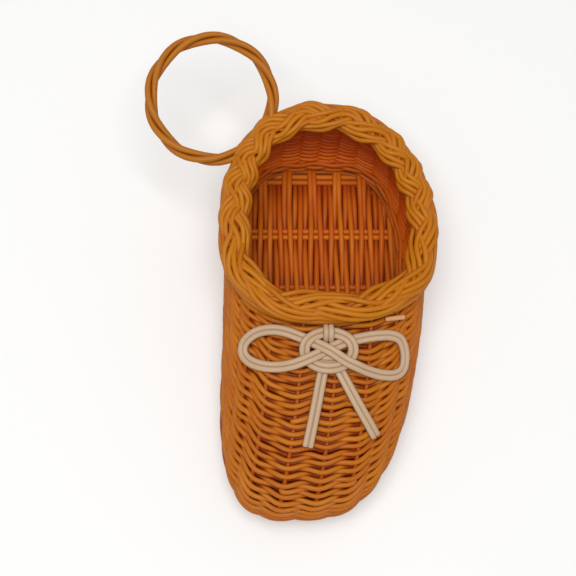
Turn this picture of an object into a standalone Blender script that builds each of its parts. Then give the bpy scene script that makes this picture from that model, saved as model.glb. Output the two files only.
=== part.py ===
"""Woven cane ornament slipper, the left one of a pair: a woven sole, a woven upper, a plaited border
round the mouth, a bow of doubled white cane on the vamp and a twisted hanging ring at the heel.

Metres, +Z up. The origin is on the floor under the middle of the sole, the toe points along -Y,
+X is the outer side of the foot and -X the inner side.
"""

import math
from collections import namedtuple

import bpy
import numpy as np
from mathutils import Vector
from mathutils.bvhtree import BVHTree

MM = 0.001

# Cane sizes and the clearance between neighbouring pieces
GAP = 0.3 * MM
WHITE_CANE = 1.8 * MM

# Driving sizes of the shoe, taken at the middle of its wall
SOLE_THICKNESS = 4.8 * MM
WALL_THICKNESS = 3.4 * MM
HEEL_RIM_HEIGHT = 40.0 * MM
SIDE_RIM_HEIGHT = 34.5 * MM
TOE_SKEW = 9.0 * MM
RIM_LEAN = 1.2 * MM
SKEW_START_Y = 20.0 * MM
SIDE_TO_TOE_RISE = 1.7

# Middle of the wall on the centre line, from the sole's toe edge over the toe and vamp to the throat
Station = namedtuple("Station", "y z")
VAMP_PROFILE = (
    Station(-60.2, 5.1),
    Station(-63.4, 10.0),
    Station(-63.8, 16.0),
    Station(-61.0, 22.6),
    Station(-54.2, 28.0),
    Station(-44.0, 31.6),
    Station(-31.0, 34.0),
    Station(-18.0, 35.6),
    Station(-7.0, 36.6),
    Station(-0.2, 38.8),
)

# Sizes of the wall's rings at the sole, half way up and at the rim, in millimetres
RingSizes = namedtuple("RingSizes", "sole middle rim")
HALF_WIDTH = RingSizes(30.6, 31.9, 30.9)
HEEL_Y = RingSizes(61.5, 64.6, 64.0)
WIDEST_Y = RingSizes(12.0, 18.0, 27.0)
TOE_SQUARENESS = RingSizes(3.3, 2.9, 2.6)
OUTER_HEEL_SQUARENESS = RingSizes(3.4, 2.6, 2.0)
INNER_HEEL_SQUARENESS = RingSizes(3.2, 2.6, 2.35)

# Weave of the upper: upright stakes, and strips that pass over and under them
STAKES = 32
HEEL_STAKE_SPACING = 6.5 * MM
STRIPS = 14
STRIP_OVER = 0.75 * MM
STRIP_UNDER = -0.35 * MM
STRIP_EDGE = -0.45 * MM
STRIP_HEIGHT = 4.0 * MM
SWELL_LEAST = 0.65
SWELL_MOST = 1.4
SEAT_STEP = 0.4 * MM

COLUMNS = 2 * STAKES
RING_SAMPLES = 180
PROFILE_SAMPLES = 200

# Sole: rows of cane round its edge, and lengthwise canes with grooves between them on its top
SOLE_EDGE_ROWS = 3
SOLE_EDGE_BULGE = 0.5 * MM
SOLE_OUTLINE_POINTS = 60
SOLE_CANE_PITCH = 3.4 * MM
SOLE_CANES = 15
GROOVE_WIDTH = 1.2 * MM
GROOVE_DEPTH = 0.8 * MM
GROOVE_INSET = 3.0 * MM

# Border: strands of cane plaited round the rim; from its crown they slant away to both edges
BORDER_LOBES = 14
LOBE_DIPS = (1.0, 0.25, 0.0, 0.4)
BORDER_POINTS = 16
BORDER_HALF_WIDTH = 5.1 * MM
BORDER_HALF_HEIGHT = 3.6 * MM
STRAND_RELIEF = 1.5 * MM
CROWN_DIP = 0.5
SLANT_STEPS = 4
SLANT_PER_POINT = 3

# Bow of doubled white cane; its points are in millimetres from the knot's middle on the vamp
BowPoint = namedtuple("BowPoint", "x y")
KNOT_X = 0.0 * MM
KNOT_Y = -13.3 * MM
KNOT_HALF_WIDTH = 8.1
KNOT_HALF_HEIGHT = 6.3
KNOT_SAMPLES = 22
LOOP_SAMPLES = 19
STRIP_SAMPLES = 8
KnotStrip = namedtuple("KnotStrip", "start middle end rise")
KNOT_STRIPS = (
    KnotStrip(BowPoint(-7.4, 3.2), BowPoint(0.2, -1.2), BowPoint(6.6, -4.4), 0.5 * MM),
    KnotStrip(BowPoint(7.0, 3.4), BowPoint(0.4, -0.8), BowPoint(-6.4, -4.6), 1.6 * MM),
    KnotStrip(BowPoint(0.1, 8.6), BowPoint(0.0, 5.8), BowPoint(0.1, 1.2), 1.2 * MM),
)
LOOP_LATERAL = (
    BowPoint(10.4, 3.3),
    BowPoint(13.6, 4.2),
    BowPoint(18.0, 4.8),
    BowPoint(22.4, 4.4),
    BowPoint(25.2, 1.8),
    BowPoint(25.6, -2.4),
    BowPoint(23.4, -6.6),
    BowPoint(19.0, -8.6),
    BowPoint(13.6, -8.2),
    BowPoint(9.2, -6.5),
)
LOOP_MEDIAL = (
    BowPoint(-9.7, 5.0),
    BowPoint(-13.6, 6.5),
    BowPoint(-18.0, 7.0),
    BowPoint(-22.8, 6.2),
    BowPoint(-26.2, 3.4),
    BowPoint(-26.4, -0.6),
    BowPoint(-23.8, -4.0),
    BowPoint(-19.0, -5.9),
    BowPoint(-14.0, -5.6),
    BowPoint(-10.1, -4.5),
)
TAIL_LATERAL = (BowPoint(4.7, -8.6), BowPoint(9.2, -17.2), BowPoint(14.5, -26.4))
TAIL_MEDIAL = (BowPoint(-2.4, -8.9), BowPoint(-4.7, -20.1), BowPoint(-6.8, -29.9))

# Hanging ring of three twisted canes, threaded through the border at the inner heel
RING_CANE = 1.85 * MM
RING_CANES = 3
RING_RADIUS = 20.0 * MM
RING_CENTRE = Vector((-37.2 * MM, 69.7 * MM, 45.0 * MM))
RING_TILT = math.radians(12)
RING_TWISTS = 5
RING_SECTIONS = 45
RING_CLEARANCE = 0.25 * MM
TUNNEL_SEGMENTS = 64
TUNNEL_SIDES = 16


def through(sizes, level):
    """Value at a level from 0 at the sole to 1 at the rim, on the parabola through the three sizes."""
    low = (1 - level) * (1 - 2 * level)
    middle = 4 * level * (1 - level)
    high = level * (2 * level - 1)
    return low * sizes.sole + middle * sizes.middle + high * sizes.rim


def smooth_path(points, samples):
    """Evenly spaced points on the smooth curve through the given points."""
    points = np.asarray(points, float)
    before = 2 * points[0] - points[1]
    after = 2 * points[-1] - points[-2]
    knots = np.vstack([before, points, after])
    share = np.linspace(0, len(points) - 1, samples * 4)
    start = np.minimum(share.astype(int), len(points) - 2)
    t = (share - start)[:, None]
    a, b, c, d = (knots[start + step] for step in range(4))
    curve = b + 0.5 * t * (c - a + t * (2 * a - 5 * b + 4 * c - d + t * (3 * (b - c) + d - a)))
    return even_steps(curve, samples)


def even_steps(curve, samples):
    """The curve resampled at equal distances along itself, ends included."""
    steps = np.linalg.norm(np.diff(curve, axis=0), axis=1)
    length = np.concatenate([[0.0], np.cumsum(steps)])
    wanted = np.linspace(0, length[-1], samples)
    return np.stack([np.interp(wanted, length, curve[:, k]) for k in range(curve.shape[1])], axis=1)


TOE_PATH = smooth_path(VAMP_PROFILE, PROFILE_SAMPLES) * MM


def half_ring(level, side):
    """Dense points of one side of the wall's ring at a level, from the heel's middle to the toe's."""
    toe_y, toe_z = (np.interp(level, np.linspace(0, 1, PROFILE_SAMPLES), TOE_PATH[:, k]) for k in (0, 1))
    heel_y = through(HEEL_Y, level) * MM
    widest_y = through(WIDEST_Y, level) * MM
    half_width = through(HALF_WIDTH, level) * MM
    floor_z = TOE_PATH[0, 1]
    heel_z = floor_z + level * (HEEL_RIM_HEIGHT - floor_z)
    side_z = floor_z + level * (SIDE_RIM_HEIGHT - floor_z)
    angle = np.linspace(math.pi, 0, RING_SAMPLES)
    front = np.cos(angle) > 0
    heel_squareness = INNER_HEEL_SQUARENESS if side < 0 else OUTER_HEEL_SQUARENESS
    power = 2 / np.where(front, through(TOE_SQUARENESS, level), through(heel_squareness, level))
    along = np.abs(np.cos(angle)) ** power
    across = np.abs(np.sin(angle)) ** power
    y = widest_y + along * np.where(front, toe_y - widest_y, heel_y - widest_y)
    z = side_z + along**SIDE_TO_TOE_RISE * np.where(front, toe_z - side_z, heel_z - side_z)
    toeward = np.clip((SKEW_START_Y - y) / (SKEW_START_Y - TOE_PATH[:, 0].min()), 0, None)
    x = (side * half_width + RIM_LEAN * level) * across - TOE_SKEW * toeward**2
    return np.stack([x, y, z], axis=1)


def stake_distance(share, half_length):
    """Distance from the heel's middle: heel stakes keep their spacing, and the toe takes up the rest."""
    upright = share * HEEL_STAKE_SPACING * STAKES / 2
    return upright + (half_length - HEEL_STAKE_SPACING * STAKES / 2) * share**2


def wall_ring(level, columns):
    """Points of the wall's middle round one ring: column 0 is the heel, and the inner side comes first."""
    points = np.empty((columns, 3))
    for side in (1, -1):
        dense = half_ring(level, side)
        steps = np.linalg.norm(np.diff(dense, axis=0), axis=1)
        length = np.concatenate([[0.0], np.cumsum(steps)])
        for column in range(columns // 2 + 1):
            distance = stake_distance(2 * column / columns, length[-1])
            points[-side * column % columns] = [np.interp(distance, length, dense[:, k]) for k in range(3)]
    return points


def wall_sheet(levels, columns):
    """The wall's middle as a grid of points, with its outward normals and its directions up the wall."""
    grid = np.array([wall_ring(level, columns) for level in levels])
    up = np.gradient(grid, levels, axis=0)
    round_ring = np.roll(grid, -1, axis=1) - np.roll(grid, 1, axis=1)
    normal = np.cross(round_ring, up)
    normal /= np.linalg.norm(normal, axis=2, keepdims=True)
    up /= np.linalg.norm(up, axis=2, keepdims=True)
    return grid, normal, up


def border_frame(sections):
    """Points along the rim, level directions out of the mouth, and how high a leaning wall's corner rises."""
    grid, normal, _ = wall_sheet(np.linspace(0.9, 1, 5), sections)
    outward = normal[-1] * (1.0, 1.0, 0.0)
    outward /= np.linalg.norm(outward, axis=1, keepdims=True)
    return grid[-1], outward, WALL_THICKNESS / 2 * np.abs(normal[-1][:, 2])


def collection(name):
    made = bpy.data.collections.new(name)
    bpy.context.scene.collection.children.link(made)
    return made


def material(name, colour, roughness):
    made = bpy.data.materials.new(name)
    made.use_nodes = True
    shader = made.node_tree.nodes["Principled BSDF"]
    shader.inputs["Base Color"].default_value = (*colour, 1.0)
    shader.inputs["Roughness"].default_value = roughness
    shader.inputs["Metallic"].default_value = 0.0
    return made


def new_object(name, vertices, faces, where, finish=None):
    mesh = bpy.data.meshes.new(name)
    mesh.from_pydata([tuple(v) for v in vertices], [], faces)
    mesh.update()
    mesh.shade_smooth()
    made = bpy.data.objects.new(name, mesh)
    where.objects.link(made)
    if finish:
        mesh.materials.append(finish)
    return made


def lofted_ring(name, grid, where, finish=None):
    """A closed ring: grid[section][point], where the points of a section and the sections both close."""
    sections, count = grid.shape[:2]
    faces = []
    for i in range(sections):
        low, high = i * count, (i + 1) % sections * count
        for j in range(count):
            beside = (j + 1) % count
            faces.append((low + j, high + j, high + beside, low + beside))
    return new_object(name, grid.reshape(-1, 3), faces, where, finish)


def lofted_tube(name, grid, where, finish=None):
    """A tube with flat ends: grid[section][point], where only the points of a section close."""
    sections, count = grid.shape[:2]
    faces = [tuple(range(count)), tuple(range(sections * count - 1, (sections - 1) * count - 1, -1))]
    for i in range(sections - 1):
        for j in range(count):
            beside = (j + 1) % count
            low, high = i * count, (i + 1) * count
            faces.append((low + j, high + j, high + beside, low + beside))
    return new_object(name, grid.reshape(-1, 3), faces, where, finish)


def weave_relief(rows):
    """How far each point of the woven face stands out: strips pass over and under the stakes in turn."""
    relief = np.zeros((rows, COLUMNS))
    for row in range(1, rows - 1):
        for column in range(COLUMNS):
            strip, on_edge = divmod(row, 2)
            if on_edge == 0:
                relief[row, column] = STRIP_EDGE
            elif column % 2:
                relief[row, column] = (STRIP_OVER + STRIP_UNDER) / 2
            elif (strip + column // 2) % 2:
                relief[row, column] = STRIP_OVER
            else:
                relief[row, column] = STRIP_UNDER
    return relief


def build_upper(where, finish):
    """One hollow wall, open at the mouth and underneath, with its woven strips raised on both faces."""
    rows = 2 * STRIPS + 1
    levels = np.linspace(0, 1, rows)
    grid, normal, _ = wall_sheet(levels, COLUMNS)
    strip_height = 2 * np.linalg.norm(np.gradient(grid, axis=0), axis=2)
    relief = weave_relief(rows) * np.clip(strip_height / STRIP_HEIGHT, SWELL_LEAST, SWELL_MOST)
    outer = grid + normal * (WALL_THICKNESS / 2 + relief)[:, :, None]
    inner = grid - normal * (WALL_THICKNESS / 2 - relief)[:, :, None]
    seat_z = TOE_PATH[0, 1]
    for face in (outer, inner):
        face[0, :, 2] = seat_z
        face[1, :, 2] = np.maximum(face[1, :, 2], seat_z + SEAT_STEP)
    inside_rows = [0, *range(1, rows, 2), rows - 1]
    section_rows = np.concatenate([outer, inner[inside_rows[::-1]]])
    return lofted_ring("upper", section_rows.transpose(1, 0, 2), where, finish)


def mean_outline(level, count, out):
    """The wall's ring at a level seen in plan: evenly spaced points, set outward from the wall's middle."""
    ring = np.vstack([half_ring(level, 1), half_ring(level, -1)[::-1][1:]])
    points = even_steps(ring, count + 1)[:-1]
    along = np.roll(points, -1, axis=0) - np.roll(points, 1, axis=0)
    outward = np.stack([-along[:, 1], along[:, 0]], axis=1)
    outward /= np.linalg.norm(outward, axis=1, keepdims=True)
    return points[:, :2] + out * outward


def lengthwise_span(outline, x):
    """The lowest and highest y of a convex outline on the line at x."""
    hits = []
    for (x0, y0), (x1, y1) in zip(outline, np.roll(outline, -1, axis=0)):
        if (x0 - x) * (x1 - x) < 0:
            hits.append(y0 + (y1 - y0) * (x - x0) / (x1 - x0))
    return min(hits), max(hits)


def hide_tool(tool):
    tool.hide_render = True
    tool.display_type = "WIRE"
    return tool


def combine(target, tool, operation):
    step = target.modifiers.new(operation.lower(), "BOOLEAN")
    step.operation = operation
    step.solver = "EXACT"
    step.object = hide_tool(tool)


def build_sole(where, tools, finish):
    """The woven base mat: rows of cane round its edge, lengthwise canes on top, and a flat underside."""
    rows = 2 * SOLE_EDGE_ROWS + 1
    layers = []
    for row in range(rows):
        bulge = SOLE_EDGE_BULGE if row % 2 else 0.0
        plan = mean_outline(0.0, SOLE_OUTLINE_POINTS, WALL_THICKNESS / 2 + bulge)
        height = np.full((SOLE_OUTLINE_POINTS, 1), SOLE_THICKNESS * row / (rows - 1))
        layers.append(np.hstack([plan, height]))
    sole = lofted_tube("sole", np.array(layers), where, finish)
    inside = mean_outline(0.0, SOLE_OUTLINE_POINTS, -GROOVE_INSET)
    vertices, faces = [], []
    for cane in range(SOLE_CANES + 1):
        x = (cane - SOLE_CANES / 2) * SOLE_CANE_PITCH
        first = len(vertices)
        for y in lengthwise_span(inside, x):
            vertices.append((x - GROOVE_WIDTH, y, SOLE_THICKNESS + GROOVE_DEPTH))
            vertices.append((x + GROOVE_WIDTH, y, SOLE_THICKNESS + GROOVE_DEPTH))
            vertices.append((x, y, SOLE_THICKNESS - GROOVE_DEPTH))
        prism = ((0, 2, 1), (3, 4, 5), (0, 1, 4, 3), (1, 2, 5, 4), (2, 0, 3, 5))
        faces += [tuple(first + corner for corner in face) for face in prism]
    grooves = new_object("sole_grooves", vertices, faces, tools)
    combine(sole, grooves, "DIFFERENCE")
    return sole


def build_border(where, finish):
    """The plait round the rim: lobes on the outer side, and on the inner side half a lobe further on."""
    steps = len(LOBE_DIPS)
    count = BORDER_LOBES * steps
    rim, outward, seat = border_frame(count * SLANT_STEPS)
    upward = np.array((0.0, 0.0, 1.0))
    crown = BORDER_POINTS // 4
    half_round = BORDER_POINTS // 2
    sections = np.empty((count, BORDER_POINTS, 3))
    for i in range(count):
        for j in range(BORDER_POINTS):
            past_crown = (j - crown) % BORDER_POINTS
            from_crown = min(past_crown, BORDER_POINTS - past_crown)
            inner_side = past_crown < half_round
            share = LOBE_DIPS[(i + inner_side * steps // 2) % steps]
            if past_crown == 0:
                share = CROWN_DIP
            if past_crown == half_round:
                share = 0.0
            dip = STRAND_RELIEF * share
            along = (i * SLANT_STEPS + from_crown * SLANT_PER_POINT) % len(rim)
            angle = 2 * math.pi * j / BORDER_POINTS
            middle = rim[along] + upward * (BORDER_HALF_HEIGHT + GAP + seat[along])
            across = outward[along] * math.cos(angle) * (BORDER_HALF_WIDTH - dip)
            sections[i, j] = middle + across + upward * math.sin(angle) * (BORDER_HALF_HEIGHT - dip)
    return lofted_ring("border", sections, where, finish)


def vamp_skin():
    """The smooth outer face of the upper, for laying the bow on."""
    rows, columns = 60, 4 * STAKES
    grid, normal, _ = wall_sheet(np.linspace(0, 1, rows), columns)
    skin = (grid + normal * WALL_THICKNESS / 2).reshape(-1, 3)
    faces = []
    for row in range(rows - 1):
        for column in range(columns):
            beside = (column + 1) % columns
            low, high = row * columns, (row + 1) * columns
            faces.append((low + column, low + beside, high + beside, high + column))
    return BVHTree.FromPolygons([tuple(v) for v in skin], faces)


def lay_on_vamp(skin, points, lift):
    """Bow points laid on the vamp from above, lifted off it, with the vamp's normals there."""
    above = 0.1
    laid, normals = [], []
    for (x, y), rise in zip(points, np.broadcast_to(lift, len(points))):
        start = Vector((KNOT_X + x * MM, KNOT_Y + y * MM, above))
        hit, normal, _, _ = skin.ray_cast(start, Vector((0, 0, -1)))
        laid.append(hit + normal * rise)
        normals.append(normal)
    return np.array(laid), np.array(normals)


def doubled_cane(path, normals, closed):
    """Sections of two canes side by side, laid along a path on a surface."""
    radius = WHITE_CANE / 2
    profile = [(radius + radius * math.cos(a), radius * math.sin(a)) for a in np.radians((-90, -30, 30, 90))]
    profile.append((0.0, radius * 0.4))
    profile += [(-x, z) for x, z in profile[3::-1]]
    if closed:
        along = np.roll(path, -1, axis=0) - np.roll(path, 1, axis=0)
    else:
        along = np.gradient(path, axis=0)
    across = np.cross(along, normals)
    across /= np.linalg.norm(across, axis=1, keepdims=True)
    upright = np.cross(across, along)
    upright /= np.linalg.norm(upright, axis=1, keepdims=True)
    return np.array([path + across * x + upright * z for x, z in profile]).transpose(1, 0, 2)


def build_bow(where, tools, finish):
    """The knot with two crossing strips inside it, two loops and two tails, all in doubled cane."""
    skin = vamp_skin()
    lift = STRIP_OVER * SWELL_MOST + GAP + WHITE_CANE / 2
    turn = np.linspace(0, 2 * math.pi, KNOT_SAMPLES, endpoint=False)
    oval = np.stack([KNOT_HALF_WIDTH * np.cos(turn), KNOT_HALF_HEIGHT * np.sin(turn)], axis=1)
    path, normals = lay_on_vamp(skin, oval, lift)
    knot = lofted_ring("bow_knot", doubled_cane(path, normals, True), where, finish)
    for number, (start, middle, end, rise) in enumerate(KNOT_STRIPS):
        hump = np.sin(np.linspace(0, math.pi, STRIP_SAMPLES)) * rise
        path, normals = lay_on_vamp(skin, smooth_path((start, middle, end), STRIP_SAMPLES), lift + hump)
        strip = lofted_tube(f"knot_strip_{number}", doubled_cane(path, normals, False), tools)
        combine(knot, strip, "UNION")
    pieces = (
        ("bow_loop_lateral", LOOP_LATERAL, LOOP_SAMPLES),
        ("bow_loop_medial", LOOP_MEDIAL, LOOP_SAMPLES),
        ("bow_tail_lateral", TAIL_LATERAL, STRIP_SAMPLES),
        ("bow_tail_medial", TAIL_MEDIAL, STRIP_SAMPLES),
    )
    for name, points, samples in pieces:
        path, normals = lay_on_vamp(skin, smooth_path(points, samples), lift)
        lofted_tube(name, doubled_cane(path, normals, False), where, finish)


def build_hanging_ring(where, tools, finish, border):
    """Three canes twisted together into a ring, and the tunnel that the border leaves for it."""
    across = Vector((1, 0, 0))
    rising = Vector((0, math.cos(RING_TILT), math.sin(RING_TILT)))
    axis = across.cross(rising)
    radius = RING_CANE / 2
    reach = radius / math.sin(math.pi / RING_CANES)
    profile = []
    for cane in range(RING_CANES):
        facing = 2 * math.pi * cane / RING_CANES
        for bend in np.radians((-70, 0, 70)):
            x = reach * math.cos(facing) + radius * math.cos(facing + bend)
            z = reach * math.sin(facing) + radius * math.sin(facing + bend)
            profile.append((x, z))
        between = facing + math.pi / RING_CANES
        profile.append((radius * math.cos(between), radius * math.sin(between)))
    sections = np.empty((RING_SECTIONS, len(profile), 3))
    for i in range(RING_SECTIONS):
        turn = 2 * math.pi * i / RING_SECTIONS
        radial = across * math.cos(turn) + rising * math.sin(turn)
        twist = RING_TWISTS * turn
        first = radial * math.cos(twist) + axis * math.sin(twist)
        second = axis * math.cos(twist) - radial * math.sin(twist)
        for j, (x, z) in enumerate(profile):
            sections[i, j] = RING_CENTRE + radial * RING_RADIUS + first * x + second * z
    ring = lofted_ring("hanging_ring", sections, where, finish)
    bpy.ops.mesh.primitive_torus_add(
        major_radius=RING_RADIUS,
        minor_radius=reach + radius + RING_CLEARANCE,
        major_segments=TUNNEL_SEGMENTS,
        minor_segments=TUNNEL_SIDES,
        location=RING_CENTRE,
        rotation=axis.to_track_quat("Z", "Y").to_euler(),
    )
    tunnel = bpy.context.object
    tunnel.name = "ring_tunnel"
    for owner in list(tunnel.users_collection):
        owner.objects.unlink(tunnel)
    tools.objects.link(tunnel)
    combine(border, tunnel, "DIFFERENCE")
    return ring


def main():
    for old in list(bpy.data.objects):
        bpy.data.objects.remove(old)
    shoe = collection("woven_slipper")
    tools = collection("cutters")
    honey = (0.52, 0.20, 0.028)
    white = (0.68, 0.55, 0.42)
    build_sole(shoe, tools, material("sole_cane", (0.36, 0.11, 0.015), 0.5))
    build_upper(shoe, material("weave_cane", honey, 0.45))
    border = build_border(shoe, material("border_cane", (0.55, 0.22, 0.025), 0.4))
    build_bow(shoe, tools, material("white_cane", white, 0.45))
    build_hanging_ring(shoe, tools, material("ring_cane", (0.50, 0.18, 0.02), 0.4), border)


main()
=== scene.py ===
import math
from collections import namedtuple

import bpy
import numpy as np
from mathutils import Matrix, Vector
from mathutils.bvhtree import BVHTree


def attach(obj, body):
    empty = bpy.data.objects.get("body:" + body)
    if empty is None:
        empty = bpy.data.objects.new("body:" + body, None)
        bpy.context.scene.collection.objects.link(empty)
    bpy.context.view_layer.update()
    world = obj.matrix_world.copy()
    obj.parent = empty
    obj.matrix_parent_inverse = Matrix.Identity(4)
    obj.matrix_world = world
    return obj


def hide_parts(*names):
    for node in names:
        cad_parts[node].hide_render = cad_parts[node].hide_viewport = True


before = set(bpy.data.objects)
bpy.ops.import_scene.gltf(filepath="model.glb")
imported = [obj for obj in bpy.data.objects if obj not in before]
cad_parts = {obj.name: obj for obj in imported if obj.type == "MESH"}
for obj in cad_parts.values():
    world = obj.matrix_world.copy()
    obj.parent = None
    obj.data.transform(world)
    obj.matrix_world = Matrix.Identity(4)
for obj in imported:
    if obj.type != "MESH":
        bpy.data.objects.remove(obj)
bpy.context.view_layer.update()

# Base mat: the slipper's floor, woven from round rattan cane stained honey brown.
# Lengthwise canes pass over and under stiff cross sticks set in pairs, and their ends are
# caught under the rows that are woven round the edge.
MM = 0.001

# The curves of the wall, whose foot bounds the mat.
HEEL_RIM_HEIGHT = 40.0 * MM
SIDE_RIM_HEIGHT = 34.5 * MM
SIDE_TO_TOE_RISE = 1.7
TOE_SKEW = 9.0 * MM
SKEW_START_Y = 20.0 * MM
RIM_LEAN = 1.2 * MM
VAMP_LINE = (
    (-60.2, 5.1),
    (-63.4, 10.0),
    (-63.8, 16.0),
    (-61.0, 22.6),
    (-54.2, 28.0),
    (-44.0, 31.6),
    (-31.0, 34.0),
    (-18.0, 35.6),
    (-7.0, 36.6),
    (-0.2, 38.8),
)
VAMP_LINE_STEPS = 200
HALF_WIDTH = (30.6, 31.9, 30.9)
HEEL_Y = (61.5, 64.6, 64.0)
WIDEST_Y = (12.0, 18.0, 27.0)
TOE_SQUARENESS = (3.3, 2.9, 2.6)
OUTER_HEEL_SQUARENESS = (3.4, 2.6, 2.0)
INNER_HEEL_SQUARENESS = (3.2, 2.6, 2.35)
HALF_WALL_STEPS = 180
STAKES = 32
HEEL_STAKE_SPACING = 6.5 * MM
TOE_STAKE_SPACING = 11.5 * MM
CURVE_FINENESS = 4


def up_the_wall(sizes, height):
    """A size at a height from 0 at the sole to 1 at the rim, from its sole, middle and rim values."""
    low, middle, high = sizes
    return (
        (1 - height) * (1 - 2 * height) * low
        + 4 * height * (1 - height) * middle
        + height * (2 * height - 1) * high
    )


def run_length(path):
    """How far each point of a path lies from its start, along the path."""
    steps = np.linalg.norm(np.diff(path, axis=0), axis=1)
    return np.concatenate([[0.0], np.cumsum(steps)])


def at_distance(path, distance):
    """The places at the given distances along a path."""
    length = run_length(path)
    return np.stack([np.interp(distance, length, path[:, k]) for k in range(path.shape[1])], axis=1)


def even_steps(path, count):
    """The same path in a number of even steps."""
    return at_distance(path, np.linspace(0, run_length(path)[-1], count))


def bent_through(points, count):
    """A cane's smooth line through the given points, in even steps."""
    points = np.asarray(points, float)
    knots = np.vstack([2 * points[0] - points[1], points, 2 * points[-1] - points[-2]])
    share = np.linspace(0, len(points) - 1, count * CURVE_FINENESS)
    start = np.minimum(share.astype(int), len(points) - 2)
    t = (share - start)[:, None]
    a, b, c, d = (knots[start + step] for step in range(4))
    line = b + 0.5 * t * (c - a + t * (2 * a - 5 * b + 4 * c - d + t * (3 * (b - c) + d - a)))
    return even_steps(line, count)


toe_line = bent_through(VAMP_LINE, VAMP_LINE_STEPS) * MM


def half_wall(height, side):
    """The middle of the wall at a height, down one side from the heel's middle to the toe's."""
    up_the_toe = np.linspace(0, 1, VAMP_LINE_STEPS)
    toe_y, toe_z = (np.interp(height, up_the_toe, toe_line[:, k]) for k in (0, 1))
    heel_y = up_the_wall(HEEL_Y, height) * MM
    widest_y = up_the_wall(WIDEST_Y, height) * MM
    half_width = up_the_wall(HALF_WIDTH, height) * MM
    seat_z = toe_line[0, 1]
    heel_z = seat_z + height * (HEEL_RIM_HEIGHT - seat_z)
    side_z = seat_z + height * (SIDE_RIM_HEIGHT - seat_z)
    angle = np.linspace(math.pi, 0, HALF_WALL_STEPS)
    front = np.cos(angle) > 0
    toe_power = up_the_wall(TOE_SQUARENESS, height)
    heel_power = up_the_wall(OUTER_HEEL_SQUARENESS if side > 0 else INNER_HEEL_SQUARENESS, height)
    power = 2 / np.where(front, toe_power, heel_power)
    along = np.abs(np.cos(angle)) ** power
    across = np.abs(np.sin(angle)) ** power
    y = widest_y + along * np.where(front, toe_y - widest_y, heel_y - widest_y)
    z = side_z + along**SIDE_TO_TOE_RISE * np.where(front, toe_z - side_z, heel_z - side_z)
    toeward = np.clip((SKEW_START_Y - y) / (SKEW_START_Y - toe_line[:, 0].min()), 0, None)
    x = (side * half_width + RIM_LEAN * height) * across - TOE_SKEW * toeward**2
    return np.stack([x, y, z], axis=1)


def round_wall(height, count):
    """The wall's middle all round at a height, from the heel by the inner side, toe and outer side."""
    share = np.linspace(0, 1, count // 2 + 1)
    even = HEEL_STAKE_SPACING * share + (TOE_STAKE_SPACING - HEEL_STAKE_SPACING) * share**3 / 3
    along_side = share - np.sin(2 * math.pi * share) / (2 * math.pi)
    halves = []
    for side in (-1, 1):
        line = half_wall(height, side)
        spare = run_length(line)[-1] - STAKES / 2 * even[-1]
        halves.append(at_distance(line, STAKES / 2 * even + spare * along_side))
    inner, outer = halves
    return np.vstack([inner, outer[-2:0:-1]])


# Canes that are laid by hand differ a little from each other.
HAND_SEED = 26
LEAST_BY_EYE = 0.9
SPREAD_BY_EYE = 0.2
hand = np.random.default_rng(HAND_SEED)


def by_eye():
    """A share near one, as sizes that are judged by eye differ from each other."""
    return LEAST_BY_EYE + SPREAD_BY_EYE * hand.random()


def wavering(share, waves):
    """The sum of some waves along a cane, each begun anywhere, as in a cane laid by hand."""
    total = 0.0
    for wave in waves:
        total = total + np.sin(2 * math.pi * (wave * share + hand.random()))
    return total


def eased(share):
    """A share from 0 to 1 that starts and ends gently."""
    return share * share * (3 - 2 * share)


# Each cane is round, and a little narrower at a cut end.
CUT_TIP = 0.25
CUT_TIP_WIDTH = 0.76
CUT_EDGE_ANGLE = math.radians(62)
GRAIN_STRETCH = 14.0
Cane = namedtuple("Cane", "path out thickness stand closed")


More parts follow.
